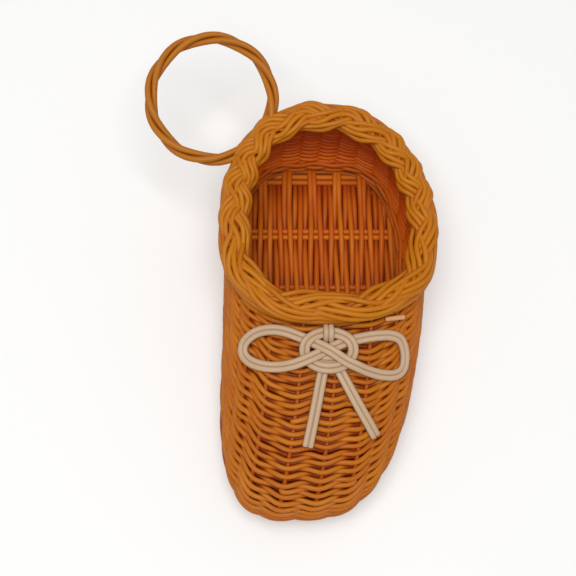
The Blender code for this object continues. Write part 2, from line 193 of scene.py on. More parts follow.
def lay_canes(name, canes, sides, finish):
    """One mesh of round canes; each point keeps how far it stands out, its cane's tone and its grain."""
    points, faces, stands, tones, grains = [], [], [], [], []
    first = 0
    angle = np.linspace(0, 2 * math.pi, sides, endpoint=False)
    for cane in canes:
        path = np.asarray(cane.path, float)
        out = np.broadcast_to(cane.out, path.shape).astype(float)
        stand = np.broadcast_to(cane.stand, len(path)).astype(float)
        radius = cane.thickness / 2
        swell = np.ones(len(path))
        if cane.closed:
            along = np.roll(path, -1, axis=0) - np.roll(path, 1, axis=0)
        else:
            tip = CUT_TIP * radius
            start_way = (path[0] - path[1]) / np.linalg.norm(path[0] - path[1])
            end_way = (path[-1] - path[-2]) / np.linalg.norm(path[-1] - path[-2])
            path = np.vstack([path[0] + start_way * tip, path, path[-1] + end_way * tip])
            out = np.vstack([out[:1], out, out[-1:]])
            stand = np.concatenate([stand[:1], stand, stand[-1:]])
            swell = np.concatenate([[CUT_TIP_WIDTH], swell, [CUT_TIP_WIDTH]])
            along = np.gradient(path, axis=0)
        along /= np.linalg.norm(along, axis=1, keepdims=True)
        beside = np.cross(along, out)
        beside /= np.linalg.norm(beside, axis=1, keepdims=True)
        upright = np.cross(beside, along)
        reach = radius * swell[:, None, None]
        outward = upright[:, None] * np.cos(angle)[None, :, None]
        sideways = beside[:, None] * np.sin(angle)[None, :, None]
        points.append((path[:, None] + (outward + sideways) * reach).reshape(-1, 3))
        # How far each point stands out; the finishes darken the low points with staining and painted
        # shade.
        stands.append(((stand[:, None] + reach[:, :, 0] * np.cos(angle)) / MM).ravel())
        tones.append(np.full(len(path) * sides, hand.random()))
        rings = len(path)
        fibre = np.empty((rings, sides, 3))
        fibre[..., 0] = radius * np.cos(angle) + hand.random()
        fibre[..., 1] = radius * np.sin(angle) + hand.random()
        fibre[..., 2] = (run_length(path) / GRAIN_STRETCH)[:, None]
        grains.append(fibre.reshape(-1, 3))
        last = rings if cane.closed else rings - 1
        for i in range(last):
            low = first + i * sides
            high = first + (i + 1) % rings * sides
            for j in range(sides):
                beyond = (j + 1) % sides
                faces.append((low + j, low + beyond, high + beyond, high + j))
        if not cane.closed:
            faces.append(tuple(range(first + sides - 1, first - 1, -1)))
            faces.append(tuple(range(first + (rings - 1) * sides, first + rings * sides)))
        first += rings * sides
    mesh = bpy.data.meshes.new(name)
    mesh.from_pydata(np.vstack(points).tolist(), [], faces)
    mesh.shade_smooth()
    mesh.set_sharp_from_angle(angle=CUT_EDGE_ANGLE)
    for title, kind, field, values in (
        ("stand", "FLOAT", "value", np.concatenate(stands)),
        ("tone", "FLOAT", "value", np.concatenate(tones)),
        ("grain", "FLOAT_VECTOR", "vector", np.vstack(grains).ravel()),
    ):
        mesh.attributes.new(title, kind, "POINT").data.foreach_set(field, values)
    mesh.materials.append(finish)
    piece = bpy.data.objects.new(name, mesh)
    bpy.context.scene.collection.objects.link(piece)
    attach(piece, "root")
    return piece


# The fibre, tones, staining and painted shade in the hollows, painted light and shade inside the shoe, and
# varnish that all the canes share.
VARNISH_SHINE = 0.2
VARNISH_COAT = 0.05
VARNISH_COAT_ROUGHNESS = 0.3
VARNISH_COAT_IOR = 1.45
SMOOTH_FIBRE = 0.36
ROUGH_FIBRE = 0.62
FIBRE_FINENESS = 3200.0
FIBRE_DETAIL = 3.0
FIBRE_BREAKUP = 0.6
FIBRE_SHARE = 0.6
FIBRE_RIDGE = 0.06 * MM
FIBRE_RIDGE_STRENGTH = 0.35
MOTTLE_FINENESS = 700.0
MOTTLE_DETAIL = 2.0
MOTTLE_SHARE = 0.8
TONE_SHARE = 0.5
TONE_START = -0.45
# Where a cane faces the inside of the shoe, its colour is multiplied by painted light near the foot that
# gives way to painted shade under the border, between these heights.
TURNED_IN_FROM = 0.2
TURNED_IN_FULL = -0.8
INSIDE_SHADE_FROM = 9.0 * MM
INSIDE_SHADE_FULL = 24.0 * MM
NO_PAINTED_LIGHT = (1.0, 1.0, 1.0)
MIX_SHARE, MIX_FIRST, MIX_SECOND, MIX_COLOUR = 0, 6, 7, 2


def cane_finish(
    name, pale, deep, stain_and_shade, hollow, crest, stain_and_shade_depth, painted_light_inside_foot=NO_PAINTED_LIGHT, painted_shade_inside_top=NO_PAINTED_LIGHT
):
    """Stained and varnished cane: grain along each cane, canes of different tones, staining and painted
    shade in the hollows and, where a cane turns to the inside of the shoe, painted light near the foot
    giving way to painted shade up to the border."""
    finish = bpy.data.materials.new(name)
    finish.use_nodes = True
    nodes = finish.node_tree.nodes
    join = finish.node_tree.links.new

    def worked_out(kind, sources, **settings):
        """A node with its settings, each input set to a plain value or joined to another's output."""
        node = nodes.new(kind)
        for setting, value in settings.items():
            setattr(node, setting, value)
        for place, source in sources.items():
            if isinstance(source, bpy.types.NodeSocket):
                join(source, node.inputs[place])
            else:
                node.inputs[place].default_value = source
        return node

    def added(source, share, start, clamp=False):
        """A share of one value added to another."""
        sources = {0: source, 1: share, 2: start}
        return worked_out("ShaderNodeMath", sources, operation="MULTIPLY_ADD", use_clamp=clamp).outputs[0]

    def between(source, low, high, at_low=0.0, at_high=1.0, easing="LINEAR"):
        """A value that goes from one end to the other while its source goes from low to high."""
        sources = {"Value": source, "From Min": low, "From Max": high, "To Min": at_low, "To Max": at_high}
        return worked_out("ShaderNodeMapRange", sources, interpolation_type=easing).outputs["Result"]

    def mixed(share, one, other, way="MIX"):
        """A colour between two others."""
        sources = {MIX_SHARE: share, MIX_FIRST: one, MIX_SECOND: other}
        return worked_out("ShaderNodeMix", sources, data_type="RGBA", blend_type=way).outputs[MIX_COLOUR]

    grain = worked_out("ShaderNodeAttribute", {}, attribute_name="grain").outputs["Vector"]
    tone = worked_out("ShaderNodeAttribute", {}, attribute_name="tone").outputs["Fac"]
    stand = worked_out("ShaderNodeAttribute", {}, attribute_name="stand").outputs["Fac"]
    fibre_sizes = {"Scale": FIBRE_FINENESS, "Detail": FIBRE_DETAIL, "Roughness": FIBRE_BREAKUP}
    fibre = worked_out("ShaderNodeTexNoise", {"Vector": grain, **fibre_sizes}).outputs["Fac"]
    mottle_sizes = {"Scale": MOTTLE_FINENESS, "Detail": MOTTLE_DETAIL}
    mottle = worked_out("ShaderNodeTexNoise", {"Vector": grain, **mottle_sizes}).outputs["Fac"]

    depth = added(tone, TONE_SHARE, TONE_START)
    depth = added(mottle, MOTTLE_SHARE, depth)
    depth = added(fibre, FIBRE_SHARE, depth, clamp=True)
    cane_colour = mixed(depth, (*pale, 1.0), (*deep, 1.0))
    # The low parts of each cane, in the hollows of the weave and underneath, take a darker colour: partly
    # staining that pools there, partly painted shade.
    off_middle = worked_out("ShaderNodeMath", {0: stand}, operation="ABSOLUTE").outputs[0]
    stain_and_shade_share = between(off_middle, hollow, crest, stain_and_shade_depth, 0.0, easing="SMOOTHSTEP")
    with_stain_and_shade = mixed(stain_and_shade_share, cane_colour, (*stain_and_shade, 1.0))

    # Inside the shoe: painted light low on the wall, painted shade higher up under the border.
    place = worked_out("ShaderNodeTexCoord", {}).outputs["Object"]
    above_floor = worked_out("ShaderNodeSeparateXYZ", {0: place}).outputs["Z"]
    shade_share_up_wall = between(above_floor, INSIDE_SHADE_FROM, INSIDE_SHADE_FULL)
    inside_light_and_shade = mixed(shade_share_up_wall, (*painted_light_inside_foot, 1.0), (*painted_shade_inside_top, 1.0))
    turned_in = between(stand, TURNED_IN_FROM, TURNED_IN_FULL)
    with_inside_light_and_shade = mixed(turned_in, with_stain_and_shade, inside_light_and_shade, way="MULTIPLY")

    ridge_sizes = {"Strength": FIBRE_RIDGE_STRENGTH, "Distance": FIBRE_RIDGE}
    ridges = worked_out("ShaderNodeBump", {"Height": fibre, **ridge_sizes}).outputs["Normal"]
    shader = nodes["Principled BSDF"]
    shader.inputs["Specular IOR Level"].default_value = VARNISH_SHINE
    shader.inputs["Coat Weight"].default_value = VARNISH_COAT
    shader.inputs["Coat Roughness"].default_value = VARNISH_COAT_ROUGHNESS
    shader.inputs["Coat IOR"].default_value = VARNISH_COAT_IOR
    join(with_inside_light_and_shade, shader.inputs["Base Color"])
    join(between(fibre, 0.0, 1.0, SMOOTH_FIBRE, ROUGH_FIBRE), shader.inputs["Roughness"])
    join(ridges, shader.inputs["Normal"])
    return finish


# The mat's own canes and sticks.
MAT_MIDDLE = 2.4 * MM
MAT_INSET = 0.4 * MM
MAT_CANES = 33
MAT_CANE = 2.05 * MM
MAT_CANE_PITCH = 1.8 * MM
MAT_CANE_RISE = 1.05 * MM
MAT_CANE_DIP = 10.5 * MM
MAT_CANE_STRAY = 0.3 * MM
MAT_CANE_STRAY_LENGTH = 55.0 * MM
MAT_CANE_STEP = 2.0 * MM
MAT_CANE_LEAST_STEPS = 6
HEEL_GROUP = 5
HEEL_GROUP_OVER = 2
MAT_STICKS = 6
MAT_STICK = 2.1 * MM
MAT_STICK_PAIR = 1.05 * MM
MAT_STICK_FIRST_Y = 56.5 * MM
MAT_STICK_SPACING = 20.6 * MM
MAT_STICK_STAND = 1.0 * MM
MAT_STICK_STEPS = 30
UNDER_CANE = 1.5 * MM
UNDER_CANE_HEIGHT = 0.8 * MM
UNDER_CANE_INSET = 0.6 * MM
UNDER_CANE_STEPS = 8
FOOT_CANE = 1.7 * MM
FOOT_STEPS = 260
INNER_ROWS = ((-1.3, 4.7), (-1.1, 6.3), (-0.9, 7.9))
INNER_ROW_SWAY = 0.45 * MM
INNER_ROW_STAND = 3.9 * MM
INNER_ROW_WAVES = 7
THIN_CANE_SIDES = 8

foot_line = round_wall(0.0, FOOT_STEPS)
upward = np.array((0.0, 0.0, 1.0))
stick_y = MAT_STICK_FIRST_Y - MAT_STICK_SPACING * np.arange(MAT_STICKS)


def mat_reach(outline, x):
    """Where a cane at x begins and ends on the mat's outline."""
    ahead = np.roll(outline, -1, axis=0)
    crossed = (outline[:, 0] - x) * (ahead[:, 0] - x) < 0
    start, end = outline[crossed], ahead[crossed]
    y = start[:, 1] + (end[:, 1] - start[:, 1]) * (x - start[:, 0]) / (end[:, 0] - start[:, 0])
    return y.min(), y.max()


def over_sticks(number, y):
    """How a lengthwise cane rises over a pair of sticks and dips under the next, in groups at the heel."""
    rise = np.zeros(len(y))
    for order, stick in enumerate(stick_y):
        under = number % HEEL_GROUP >= HEEL_GROUP_OVER if order == 0 else (number + order) % 2
        near = np.clip(1 - np.abs(y - stick) / MAT_CANE_DIP, 0, 1)
        rise += (1 - 2 * under) * eased(near)
    return MAT_CANE_RISE * rise


mat_canes = []
for number in range(MAT_CANES):
    x = (number - (MAT_CANES - 1) / 2) * MAT_CANE_PITCH
    near, far = mat_reach(foot_line[:, :2], x)
    steps = max(int((far - near) / MAT_CANE_STEP), MAT_CANE_LEAST_STEPS)
    y = np.linspace(near + MAT_INSET, far - MAT_INSET, steps)
    rise = over_sticks(number, y) * by_eye()
    stray = MAT_CANE_STRAY * wavering(y / MAT_CANE_STRAY_LENGTH, [1])
    path = np.stack([x + stray, y, MAT_MIDDLE + rise], axis=1)
    mat_canes.append(Cane(path, upward, MAT_CANE, MAT_MIDDLE + rise, False))
    if number < MAT_CANES - 1:
        beside = x + MAT_CANE_PITCH / 2
        near, far = mat_reach(foot_line[:, :2], beside)
        y = np.linspace(near + UNDER_CANE_INSET, far - UNDER_CANE_INSET, UNDER_CANE_STEPS)
        path = np.stack([np.full_like(y, beside), y, np.full_like(y, UNDER_CANE_HEIGHT)], axis=1)
        mat_canes.append(Cane(path, upward, UNDER_CANE, UNDER_CANE_HEIGHT, False))
for y in np.concatenate([stick_y - MAT_STICK_PAIR, stick_y + MAT_STICK_PAIR]):
    left, right = mat_reach(foot_line[:, [1, 0]], y)
    x = np.linspace(left + MAT_INSET, right - MAT_INSET, MAT_STICK_STEPS)
    path = np.stack([x, np.full_like(x, y), np.full_like(x, MAT_MIDDLE)], axis=1)
    mat_canes.append(Cane(path, upward, MAT_STICK, MAT_MIDDLE + MAT_STICK_STAND, False))
foot_out = np.cross(np.roll(foot_line, -1, axis=0) - np.roll(foot_line, 1, axis=0), upward)
foot_out /= np.linalg.norm(foot_out, axis=1, keepdims=True)
foot_stake = np.arange(FOOT_STEPS) * STAKES / FOOT_STEPS
for row, (out_by, height) in enumerate(INNER_ROWS):
    sway = INNER_ROW_SWAY * np.cos(math.pi * (foot_stake + row))
    path = foot_line + foot_out * (out_by * MM + sway)[:, None]
    path[:, 2] = height * MM + MAT_CANE_STRAY * wavering(foot_stake / STAKES, [INNER_ROW_WAVES])
    mat_canes.append(Cane(path, upward - foot_out, FOOT_CANE, INNER_ROW_STAND - sway, True))
MAT_PALE = (0.64, 0.178, 0.005)
MAT_DEEP = (0.52, 0.078, 0.003)
# Colour of the canes' low parts: staining and painted shade.
MAT_STAIN_AND_SHADE = (0.26, 0.02, 0.001)
mat_finish = cane_finish(
    "mat_cane", MAT_PALE, MAT_DEEP, MAT_STAIN_AND_SHADE, hollow=1.6, crest=4.2, stain_and_shade_depth=0.9
)
base_mat = lay_canes("base_mat", mat_canes, THIN_CANE_SIDES, mat_finish)

# Foot rows: the same stained cane, woven round the foot of the wall from the floor up.
# They go out and in past the stakes in turn, and two more rows lie on the edge of the mat.
FOOT_ROWS = 3
FOOT_ROW_PITCH = 1.55 * MM
FOOT_ROW_OUT = 1.1 * MM
FOOT_ROW_SWAY = 0.3 * MM
EDGE_ROWS = ((-0.5, 3.4), (-2.1, 3.0))

foot_canes = []
for row in range(FOOT_ROWS):
    out = FOOT_ROW_OUT + FOOT_ROW_SWAY * np.cos(math.pi * (foot_stake + row))
    path = foot_line + foot_out * out[:, None]
    path[:, 2] = FOOT_CANE / 2 + row * FOOT_ROW_PITCH
    foot_canes.append(Cane(path, foot_out, FOOT_CANE, out, True))
for out_by, height in EDGE_ROWS:
    path = foot_line + foot_out * out_by * MM
    path[:, 2] = height * MM
    foot_canes.append(Cane(path, upward, FOOT_CANE, FOOT_ROW_OUT, True))
FOOT_PALE = (0.47, 0.125, 0.005)
FOOT_DEEP = (0.35, 0.08, 0.003)
# Colour of the canes' low parts: staining and painted shade.
FOOT_STAIN_AND_SHADE = (0.18, 0.022, 0.001)
foot_finish = cane_finish(
    "foot_cane", FOOT_PALE, FOOT_DEEP, FOOT_STAIN_AND_SHADE, hollow=0.6, crest=2.0, stain_and_shade_depth=0.75
)
foot_rows = lay_canes("foot_rows", foot_canes, THIN_CANE_SIDES, foot_finish)
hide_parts("sole")

# Stakes: the upright canes that the wall is woven on, closer at the heel than over the vamp.
# Each is pushed into the edge of the base mat, bent up, and ends a little above the rim, inside the
# border.
STAKE = 1.7 * MM
STAKE_FOOT = 5.5 * MM
STAKE_FOOT_HEIGHT = 1.1 * MM
STAKE_BEND_INSET = 0.8 * MM
STAKE_BEND_HEIGHT = 2.6 * MM
STAKE_BEND_LEAN = 0.5
STAKE_BEND_STEPS = 8
STAKE_START = 0.02
STAKE_HEAD = 2.0 * MM
STAKE_STEPS = 40
STAKE_SHIFT = 0.39
WALL_STEPS = 120
COLUMNS_PER_STAKE = 16

wall_columns = STAKES * COLUMNS_PER_STAKE
heights = np.linspace(0, 1, WALL_STEPS + 1)
wall = np.array([round_wall(height, wall_columns) for height in heights])
wall_length = np.empty(wall_columns)
for column in range(wall_columns):
    wall_length[column] = run_length(wall[:, column])[-1]
    wall[:, column] = even_steps(wall[:, column], WALL_STEPS + 1)
wall_up = np.gradient(wall, axis=0)
wall_out = np.cross(np.roll(wall, -1, axis=1) - np.roll(wall, 1, axis=1), wall_up)
wall_out /= np.linalg.norm(wall_out, axis=2, keepdims=True)


def on_wall(stake, height, stand):
    """Points off the wall's middle and the outward directions there; stake counts round from the heel."""
    across = (stake + STAKE_SHIFT) % STAKES * COLUMNS_PER_STAKE
    up = np.clip(height, 0, 1) * WALL_STEPS
    left = np.floor(across).astype(int)
    low = np.minimum(np.floor(up).astype(int), WALL_STEPS - 1)
    right = (left + 1) % wall_columns
    left = left % wall_columns
    a = (across - np.floor(across))[:, None]
    b = (up - low)[:, None]

    def at_spot(sheet):
        under = sheet[low, left] * (1 - a) + sheet[low, right] * a
        over = sheet[low + 1, left] * (1 - a) + sheet[low + 1, right] * a
        return under * (1 - b) + over * b

    out = at_spot(wall_out)
    return at_spot(wall) + out * np.broadcast_to(stand, len(out))[:, None], out


stake_canes = []
for number in range(STAKES):
    height = np.linspace(STAKE_START, 1.0, STAKE_STEPS)
    path, out = on_wall(np.full(STAKE_STEPS, float(number)), height, 0.0)
    level_out = out[0] * (1, 1, 0) / np.linalg.norm(out[0][:2])
    foot = path[0] - level_out * STAKE_FOOT
    foot[2] = STAKE_FOOT_HEIGHT
    bend = path[0] - level_out * STAKE_BEND_INSET
    bend[2] = STAKE_BEND_HEIGHT
    head = path[-1] + upward * STAKE_HEAD
    bend_out = np.tile(upward * STAKE_BEND_LEAN + level_out, (STAKE_BEND_STEPS, 1))
    out = np.vstack([bend_out, out[:1], out, out[-1:]])
    path = bent_through(np.vstack([foot, bend, path[1:], head]), len(out))
    stake_canes.append(Cane(path, out, STAKE, 0.0, False))
STAKE_PALE = (0.54, 0.12, 0.005)
STAKE_DEEP = (0.40, 0.075, 0.003)
# Colour of the canes' low parts: staining and painted shade.
STAKE_STAIN_AND_SHADE = (0.20, 0.022, 0.001)
stake_finish = cane_finish(
    "stake_cane", STAKE_PALE, STAKE_DEEP, STAKE_STAIN_AND_SHADE, hollow=0.0, crest=1.4, stain_and_shade_depth=0.9
)
stakes = lay_canes("stakes", stake_canes, THIN_CANE_SIDES, stake_finish)

# Weave: thin round cane, stained honey brown, passing over and under the stakes in turn.
# Full rows go right round; over the vamp pairs of short rows fill the wider wall, each pair
# one cane turned back round a stake at both ends.
WEAVER = 1.7 * MM
WEAVER_BEND = 0.9 * MM
BEND_FLATNESS = 1.1
FOOT_BEND_SHARE = 0.4
FOOT_BEND_HEIGHT = 0.22
FULL_ROWS = 28
ROW_PITCH = 1.3 * MM
ROW_WANDER = 0.009
ROW_DIP = 0.006
ROW_DIP_EASE = 0.18
HAND_WAVES = (2, 3, 5, 9)
FULL_ROW_STRAY = 0.14 * MM
SHORT_ROW_STRAY = 0.1 * MM
SHORT_ROW_EASE = 1.2
SHORT_ROW_ORDER = 7
LEAST_PAIR_ROOM = 0.5
PAIR_MIDDLE = 0.5
STEPS_PER_STAKE = 10
TURN_STEPS = 9
TURN_REACH = 6
TOE_STAKE = STAKES // 2
VAMP_STAKES = 11

stake_columns = (np.arange(STAKES) + STAKE_SHIFT) * COLUMNS_PER_STAKE
spare_pairs = (wall_length[stake_columns.astype(int)] / ROW_PITCH - FULL_ROWS) / 2
both_sides = np.minimum(spare_pairs[TOE_STAKE:], spare_pairs[TOE_STAKE:0:-1])
pair_spans = []
while True:
    span = 0
    while span < VAMP_STAKES and both_sides[span] >= len(pair_spans) + LEAST_PAIR_ROOM:
        span += 1
    if span < 2:
        break
    pair_spans.append(span - 1)

gaps = FULL_ROWS - 1
pairs = len(pair_spans)
row_spans = []
placed = 0
for full_row in range(FULL_ROWS):
    row_spans.append(None)
    while placed < pairs and (placed + PAIR_MIDDLE) * gaps / pairs < full_row + 1 and full_row < gaps:
        span = pair_spans[placed * SHORT_ROW_ORDER % pairs]
        row_spans += [span, span]
        placed += 1


def row_heights(stake):
    """Height of every row's middle at each stake position: short rows push the others apart."""
    room = np.ones((len(row_spans), len(stake)))
    for row, span in enumerate(row_spans):
        if span is not None:
            past_end = span + SHORT_ROW_EASE / 2 - np.abs(stake - TOE_STAKE)
            room[row] = eased(np.clip(past_end / SHORT_ROW_EASE, 0, 1))
    top = np.cumsum(room, axis=0)
    return (top - room / 2) / top[-1]


def over_and_under(stake, height, row):
    """How far a row stands off the wall's middle; near the foot the rows are packed flatter."""
    swing = np.cos(math.pi * (stake + row))
    bend = FOOT_BEND_SHARE + (1 - FOOT_BEND_SHARE) * np.clip(height / FOOT_BEND_HEIGHT, 0, 1)
    return WEAVER_BEND * bend * np.sin(BEND_FLATNESS * swing) / math.sin(BEND_FLATNESS)


def dip_at_stakes(stake, height):
    """How far a row of the vamp sags towards the toe at a stake and rises between two stakes."""
    on_vamp = np.clip(1 - np.abs(stake - TOE_STAKE) / VAMP_STAKES, 0, 1)
    from_ends = np.clip(np.minimum(height, 1 - height) / ROW_DIP_EASE, 0, 1)
    return ROW_DIP * on_vamp * from_ends * np.cos(2 * math.pi * stake)


def by_hand(stake, size):
    """A slow, small wander of a cane laid by hand, the same after a full round."""
    return size * wavering(stake / STAKES, HAND_WAVES) / len(HAND_WAVES)


def turned_back_pair(row, span):
    """Two short rows in one cane: its places round the shoe, its heights and how far it stands out."""
    there = np.linspace(TOE_STAKE - span, TOE_STAKE + span, 2 * span * STEPS_PER_STAKE + 1)
    back = there[::-1]
    low = row_heights(there)[row]
    high = row_heights(back)[row + 1]
    turn = np.linspace(0, math.pi, TURN_STEPS + 2)[1:-1]
    climb = turn / math.pi
    past_stake = TURN_REACH * WEAVER_BEND / wall_length[TOE_STAKE * COLUMNS_PER_STAKE] * np.sin(turn)
    far_side = math.cos(math.pi * (TOE_STAKE + span + row))
    near_side = math.cos(math.pi * (TOE_STAKE - span + row + 1))
    stake = np.concatenate([there, there[-1] + past_stake, back, back[-1] - past_stake])
    height = np.concatenate(
        [low, low[-1] + (high[0] - low[-1]) * climb, high, high[-1] + (low[0] - high[-1]) * climb]
    )
    stand = np.concatenate(
        [
            over_and_under(there, low, row),
            WEAVER_BEND * far_side * np.cos(turn),
            over_and_under(back, high, row + 1),
            WEAVER_BEND * near_side * np.cos(turn),
        ]
    )
    return stake, height, stand


full_canes, short_canes = [], []
turned_back = set()
round_trip = np.arange(STAKES * STEPS_PER_STAKE) / STEPS_PER_STAKE
full_heights = row_heights(round_trip)
for row, span in enumerate(row_spans):
    thickness = WEAVER * by_eye()
    if span is None:
        height = full_heights[row] + by_hand(round_trip, ROW_WANDER)
        height -= dip_at_stakes(round_trip, full_heights[row])
        stand = over_and_under(round_trip, height, row) + by_hand(round_trip, FULL_ROW_STRAY)
        path, out = on_wall(round_trip, height, stand)
        full_canes.append(Cane(path, out, thickness, stand, True))
    elif row not in turned_back:
        turned_back.add(row + 1)
        stake, height, stand = turned_back_pair(row, span)
        height = height - dip_at_stakes(stake, height) + by_hand(stake, ROW_WANDER)
        stand = stand + by_hand(stake, SHORT_ROW_STRAY)
        path, out = on_wall(stake, height, stand)
        short_canes.append(Cane(path, out, thickness, stand, True))
WEAVE_PALE = (0.545, 0.182, 0.007)
WEAVE_DEEP = (0.425, 0.097, 0.004)
# Colour of the canes' low parts: staining and painted shade.
WEAVE_STAIN_AND_SHADE = (0.19, 0.016, 0.001)
# Painted light for the inside of the wall near the foot, and painted shade under the border.
WEAVE_INSIDE_PAINTED_LIGHT = (1.6, 1.08, 0.8)
WEAVE_INSIDE_PAINTED_SHADE = (1.2, 0.55, 0.45)
weave_finish = cane_finish(
    "weave_cane",
    WEAVE_PALE,
    WEAVE_DEEP,
    WEAVE_STAIN_AND_SHADE,
    hollow=0.0,
    crest=0.85,
    stain_and_shade_depth=0.9,
    painted_light_inside_foot=WEAVE_INSIDE_PAINTED_LIGHT,
    painted_shade_inside_top=WEAVE_INSIDE_PAINTED_SHADE,
)
full_rows = lay_canes("full_rows", full_canes, THIN_CANE_SIDES, weave_finish)
short_rows = lay_canes("vamp_short_rows", short_canes, THIN_CANE_SIDES, weave_finish)
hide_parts("upper")

# Border: the ends of the stakes turned down and plaited round the rim, in three strands of four
# stained canes. A hoop of canes fills the plait, four more canes run along its outer edge, and one
# cane ends at the throat in a pale cut.
HOOP_CANES = (
    (-2.0, 3.0, 3.0),
    (2.0, 3.0, 3.0),
    (0.0, 2.2, 3.0),
    (0.0, 4.4, 3.0),
    (-0.8, 0.5, 2.0),
    (0.8, 0.5, 2.0),
)
RIM_STEPS = 208
THICK_CANE_SIDES = 10

rim = wall[-1]
rim_out = wall_out[-1] * (1, 1, 0)
rim_out /= np.linalg.norm(rim_out, axis=1, keepdims=True)


def round_rim(share):
    """A place on the rim and the level direction out of the mouth there, by share of the way round."""
    across = share % 1 * wall_columns
    left = np.floor(across).astype(int) % wall_columns
    right = (left + 1) % wall_columns
    t = (across - np.floor(across))[:, None]
    return rim[left] * (1 - t) + rim[right] * t, rim_out[left] * (1 - t) + rim_out[right] * t


rim_share = np.arange(RIM_STEPS) / RIM_STEPS
hoop_canes = []
for out_by, up_by, thickness in HOOP_CANES:
    place, outward = round_rim(rim_share)
    path = place + outward * out_by * MM + upward * up_by * MM
    hoop_canes.append(Cane(path, upward, thickness * MM, 0.0, True))
HOOP_PALE = (0.40, 0.08, 0.004)
HOOP_DEEP = (0.28, 0.05, 0.002)
# Colour of the canes' low parts: staining and painted shade.
HOOP_STAIN_AND_SHADE = (0.14, 0.018, 0.001)
hoop_finish = cane_finish(
    "hoop_cane", HOOP_PALE, HOOP_DEEP, HOOP_STAIN_AND_SHADE, hollow=-1.0, crest=1.3, stain_and_shade_depth=0.8
)
rim_hoop = lay_canes("rim_hoop", hoop_canes, THICK_CANE_SIDES, hoop_finish)

BORDER_CANE = 1.8 * MM
PLAIT_STRANDS = 3
STRAND_CANES = 4
STRAND_PITCH = 1.5 * MM
STRAND_SWAY = 0.12
STRAND_SWAY_WAVES = (5, 11, 17)
PLAIT_LOBES = 14
PLAIT_SWINGS = PLAIT_LOBES / PLAIT_STRANDS
PLAIT_REACH = math.radians(56)
PLAIT_LEAN = math.radians(2)
PLAIT_HALF_WIDTH = 3.8 * MM
PLAIT_HALF_HEIGHT = 2.6 * MM
PLAIT_ROUND = 3.3 * MM
PLAIT_MIDDLE = 3.9 * MM
PLAIT_LIFT = 0.85 * MM
PLAIT_STAND = 0.3 * MM
PLAIT_WANDER = 0.06
PLAIT_WANDER_WAVES = (7, 19, 31, 53)
PLAIT_WANDER_LIFT = 1.2 * MM
PLAIT_STEPS = 900
EDGE_CANES = ((3.6, 4.4), (4.3, 3.0), (4.0, 1.5), (3.0, 0.4))
EDGE_CANE_STRAY = 0.25 * MM
EDGE_CANE_STAND = 0.35 * MM
EDGE_CANE_WAVES = 9

rim_length = np.linalg.norm(np.roll(rim, -1, axis=0) - rim, axis=1).sum()
lap = np.arange(PLAIT_STEPS) / PLAIT_STEPS * PLAIT_STRANDS
strand_sway = STRAND_SWAY * wavering(lap / PLAIT_STRANDS, STRAND_SWAY_WAVES)
swing = 2 * math.pi * PLAIT_SWINGS * lap + strand_sway
along = rim_length / (2 * math.pi * PLAIT_SWINGS)
across = PLAIT_ROUND * PLAIT_REACH * np.cos(swing)
slant = np.hypot(along, across)
plait_canes = []
for number in range(STRAND_CANES):
    aside = (number - (STRAND_CANES - 1) / 2) * STRAND_PITCH
    wander = PLAIT_WANDER * wavering(lap / PLAIT_STRANDS, PLAIT_WANDER_WAVES)
    turn = math.pi / 2 - PLAIT_LEAN - PLAIT_REACH * np.sin(swing) + wander
    turn -= aside * along / slant / PLAIT_ROUND
    lift = PLAIT_LIFT * np.sin(2 * swing) + PLAIT_WANDER_LIFT * wander
    place, outward = round_rim(lap - aside * across / slant / rim_length)
    level = outward * np.cos(turn)[:, None]
    height = upward * np.sin(turn)[:, None]
    facing = level / PLAIT_HALF_WIDTH + height / PLAIT_HALF_HEIGHT
    facing /= np.linalg.norm(facing, axis=1, keepdims=True)
    path = place + level * PLAIT_HALF_WIDTH + upward * PLAIT_MIDDLE + height * PLAIT_HALF_HEIGHT
    path += facing * lift[:, None]
    plait_canes.append(Cane(path, facing, BORDER_CANE, lift + PLAIT_STAND, True))
for out_by, up_by in EDGE_CANES:
    place, outward = round_rim(rim_share)
    stray = EDGE_CANE_STRAY * wavering(rim_share, [EDGE_CANE_WAVES])
    path = place + outward * (out_by * MM + stray)[:, None] + upward * up_by * MM
    plait_canes.append(Cane(path, outward, BORDER_CANE, EDGE_CANE_STAND + stray, True))
BORDER_PALE = (0.545, 0.197, 0.004)
BORDER_DEEP = (0.43, 0.11, 0.002)
# Colour of the canes' low parts: staining and painted shade.
BORDER_STAIN_AND_SHADE = (0.25, 0.03, 0.001)
border_finish = cane_finish(
    "border_cane", BORDER_PALE, BORDER_DEEP, BORDER_STAIN_AND_SHADE, hollow=0.0, crest=0.8, stain_and_shade_depth=0.8
)
border_plait = lay_canes("border_plait", plait_canes, THICK_CANE_SIDES, border_finish)
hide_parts("border")

VAMP_SKIN = 1.7 * MM
ABOVE_VAMP = 100.0 * MM
CUT_END = ((18.8, -3.0, 0.3), (21.7, -2.5, 0.8), (24.6, -2.0, 0.9))
CUT_END_CANE = 1.7 * MM
CUT_END_STEPS = 16

skin_points = (wall + wall_out * VAMP_SKIN).reshape(-1, 3)
skin_faces = []
for row in range(WALL_STEPS):
    for column in range(wall_columns):
        beyond = (column + 1) % wall_columns
        low = row * wall_columns
        high = low + wall_columns
        skin_faces.append((low + column, low + beyond, high + beyond, high + column))
vamp_skin = BVHTree.FromPolygons([tuple(point) for point in skin_points], skin_faces)


def lay_on_vamp(line):
    """A line of x, y and rise in millimetres laid on the vamp, with the directions off it."""
    laid, facing = [], []
    for x, y, rise in line:
        above = Vector((x * MM, y * MM, ABOVE_VAMP))
        spot, normal, _, _ = vamp_skin.ray_cast(above, Vector((0, 0, -1)))
        laid.append(spot + normal * rise * MM)
        facing.append(normal)
    return np.array(laid), np.array(facing)


